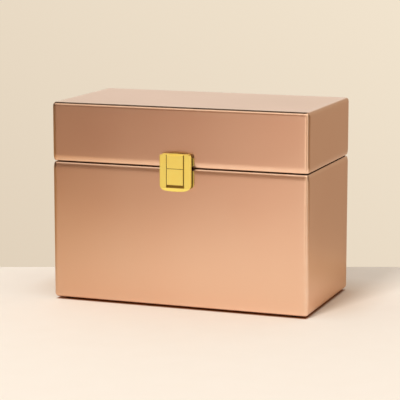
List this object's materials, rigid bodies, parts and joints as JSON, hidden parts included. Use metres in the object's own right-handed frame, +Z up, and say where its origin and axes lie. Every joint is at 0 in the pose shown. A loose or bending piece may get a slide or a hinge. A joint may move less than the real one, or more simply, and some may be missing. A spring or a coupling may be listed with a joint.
{
  "type": "recipe box",
  "caption": "Upright hinged metal recipe box: folded copper-finish body and lid, riveted back hinges and a gold hasp latch across the front seam.",
  "frame": {"origin": "on the table, under the middle of the whole object's bounding box", "axes": "+Z up, -Y out of the latch side, +X to the right seen from the front"},
  "size_m": [0.178, 0.104, 0.1335],
  "materials": {
    "copper_plate": "satin copper plate on steel sheet",
    "gold_fittings": "polished gold-coloured plate",
    "foot_rubber": "matt black rubber"
  },
  "bodies": {
    "body": {"body_wrap": "copper_plate", "bottom_panel": "copper_plate", "front_left_foot": "foot_rubber", "front_right_foot": "foot_rubber", "back_left_foot": "foot_rubber", "back_right_foot": "foot_rubber", "left_hinge_body_leaf": "gold_fittings", "left_hinge_pin": "gold_fittings", "left_hinge_body_rivets": "gold_fittings", "right_hinge_body_leaf": "gold_fittings", "right_hinge_pin": "gold_fittings", "right_hinge_body_rivets": "gold_fittings", "latch_keeper": "gold_fittings", "latch_keeper_rivets": "gold_fittings"},
    "lid": {"lid_shell": "copper_plate", "left_hinge_lid_leaf": "gold_fittings", "left_hinge_lid_rivets": "gold_fittings", "right_hinge_lid_leaf": "gold_fittings", "right_hinge_lid_rivets": "gold_fittings", "latch_hinge_plate": "gold_fittings", "latch_lid_rivets": "gold_fittings", "latch_pin": "gold_fittings"},
    "hasp": {"latch_hasp": "gold_fittings"}
  },
  "joints": [
    {"name": "lid_hinge", "type": "hinge", "parent": "body", "child": "lid", "pos_m": [0, 0.05003, 0.094], "axis": [-1, 0, 0], "range_deg": [0, 180]},
    {"name": "hasp_swing", "type": "hinge", "parent": "lid", "child": "hasp", "pos_m": [0, -0.04863, 0.10195], "axis": [-1, 0, 0], "range_deg": [0, 80]}
  ]
}
